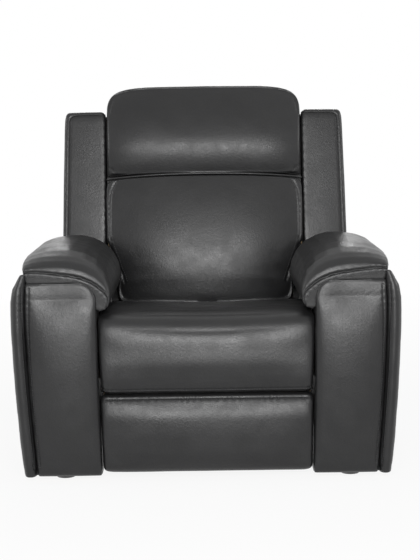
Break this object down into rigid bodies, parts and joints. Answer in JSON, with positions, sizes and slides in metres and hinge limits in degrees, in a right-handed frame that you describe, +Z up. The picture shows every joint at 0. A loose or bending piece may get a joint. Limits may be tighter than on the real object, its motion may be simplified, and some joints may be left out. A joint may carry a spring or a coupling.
{
  "type": "power recliner seat",
  "caption": "Padded leather cinema recliner with a power footrest on a folding linkage, a power reclining back with wings, and pillow arms.",
  "frame": {"origin": "middle of the seat's footprint at floor level: halfway across the arms, halfway from the front face to the rear of the upright backrest", "axes": "+Z up, -Y toward the front of the seat, +X to the right of someone who faces the seat. Left in a node's name is the -X side."},
  "size_m": [1.04, 0.98, 1.07],
  "materials": {
    "leather": "charcoal top-grain leather over foam, soft sheen",
    "leather_cover": "charcoal leather drawn flat over board",
    "timber": "unfinished hardwood and plywood",
    "black_steel": "black powder coat",
    "zinc_steel": "bright zinc plate",
    "black_plastic": "matt moulded plastic",
    "rocker_plastic": "grey moulded plastic"
  },
  "bodies": {
    "base": {"feet": "black_plastic", "arm_frame_left": "timber", "arm_frame_right": "timber", "arm_front_panel_left": "leather", "arm_front_panel_right": "leather", "arm_outer_panel_left": "leather_cover", "arm_outer_panel_right": "leather_cover", "arm_front_roll_left": "leather", "arm_front_roll_right": "leather", "arm_inner_panel_left": "leather_cover", "arm_inner_panel_right": "leather_cover", "arm_pad_left": "leather", "arm_pad_right": "leather", "base_rear_panel": "leather_cover", "cross_tubes": "black_steel", "side_plate_left": "black_steel", "side_plate_right": "black_steel", "plate_bolts": "zinc_steel", "seat_frame": "timber", "seat_springs": "zinc_steel", "seat_cushion": "leather", "leg_motor": "zinc_steel", "leg_gearbox": "black_plastic", "leg_rail": "black_steel", "back_motor": "zinc_steel", "back_gearbox": "black_plastic", "back_rail": "black_steel", "control_box": "black_plastic", "switch_bezel": "black_plastic"},
    "leg_drive": {"leg_torque_tube": "black_steel", "rear_link_left": "black_steel", "rear_link_right": "black_steel", "leg_lever": "black_steel"},
    "leg_outer": {"outer_link_left": "black_steel", "outer_link_right": "black_steel"},
    "leg_front": {"front_link_left": "black_steel", "front_link_right": "black_steel"},
    "leg_inner": {"inner_link_left": "black_steel", "inner_link_right": "black_steel"},
    "footrest": {"footrest_board": "timber", "footrest_bracket_left": "black_steel", "footrest_bracket_right": "black_steel", "footrest_pad": "leather"},
    "leg_pusher": {"leg_push_block": "black_plastic"},
    "leg_wheel": {"leg_roller": "black_plastic"},
    "back": {"back_frame": "timber", "back_springs": "zinc_steel", "lumbar_cushion": "leather", "headrest_cushion": "leather", "wing_left": "leather", "wing_right": "leather", "back_outer_panel": "leather_cover", "back_hinges": "black_steel", "back_lever": "black_steel"},
    "back_pusher": {"back_push_block": "black_plastic"},
    "back_wheel": {"back_roller": "black_plastic"},
    "leg_switch": {"leg_rocker": "rocker_plastic"},
    "back_switch": {"back_rocker": "rocker_plastic"}
  },
  "joints": [
    {"name": "leg_drive", "type": "hinge", "parent": "base", "child": "leg_drive", "pos_m": [0, -0.274, 0.2035], "axis": [-1, 0, 0], "range_deg": [0, 99]},
    {"name": "outer_link", "type": "hinge", "parent": "leg_drive", "child": "leg_outer", "pos_m": [0, -0.21485, 0.06348], "axis": [-1, 0, 0], "range_deg": [-101, 0.5]},
    {"name": "front_link", "type": "hinge", "parent": "base", "child": "leg_front", "pos_m": [0, -0.3205, 0.24], "axis": [-1, 0, 0], "range_deg": [-0.5, 99]},
    {"name": "inner_link", "type": "hinge", "parent": "leg_front", "child": "leg_inner", "pos_m": [0, -0.24417, 0.05724], "axis": [-1, 0, 0], "range_deg": [-101, 0.5]},
    {"name": "footrest_turn", "type": "hinge", "parent": "leg_outer", "child": "footrest", "pos_m": [0, -0.40189, 0.20493], "axis": [-1, 0, 0], "range_deg": [-0.5, 94]},
    {"name": "leg_push", "type": "slide", "parent": "base", "child": "leg_pusher", "axis": [0, -1, 0], "range_m": [-0.0005, 0.0846]},
    {"name": "leg_roller_spin", "type": "hinge", "parent": "leg_drive", "child": "leg_wheel", "pos_m": [-0.07, -0.23218, 0.16778], "axis": [1, 0, 0], "continuous": true},
    {"name": "back_recline", "type": "hinge", "parent": "base", "child": "back", "pos_m": [0, 0.215, 0.285], "axis": [-1, 0, 0], "range_deg": [0, 40]},
    {"name": "back_push", "type": "slide", "parent": "base", "child": "back_pusher", "axis": [0, -1, 0], "range_m": [-0.0005, 0.0865]},
    {"name": "back_roller_spin", "type": "hinge", "parent": "back", "child": "back_wheel", "pos_m": [0.07, 0.25775, 0.16754], "axis": [1, 0, 0], "continuous": true},
    {"name": "leg_switch", "type": "hinge", "parent": "base", "child": "leg_switch", "pos_m": [-0.51437, -0.258, 0.4], "axis": [0, 1, 0], "range_deg": [-6, 6], "stiffness_Nm_per_rad": 0.25},
    {"name": "back_switch", "type": "hinge", "parent": "base", "child": "back_switch", "pos_m": [-0.51437, -0.222, 0.4], "axis": [0, 1, 0], "range_deg": [-6, 6], "stiffness_Nm_per_rad": 0.25}
  ],
  "couplings": [
    {"joint": "outer_link", "follows": "leg_drive", "ratio": -1.0091},
    {"joint": "front_link", "follows": "leg_drive", "ratio": 0.99091},
    {"joint": "inner_link", "follows": "leg_drive", "ratio": -1.005},
    {"joint": "footrest_turn", "follows": "leg_drive", "ratio": 0.93838},
    {"joint": "leg_push", "follows": "leg_drive", "m_per_rad": 0.048409},
    {"joint": "back_push", "follows": "back_recline", "m_per_rad": 0.12248}
  ]
}
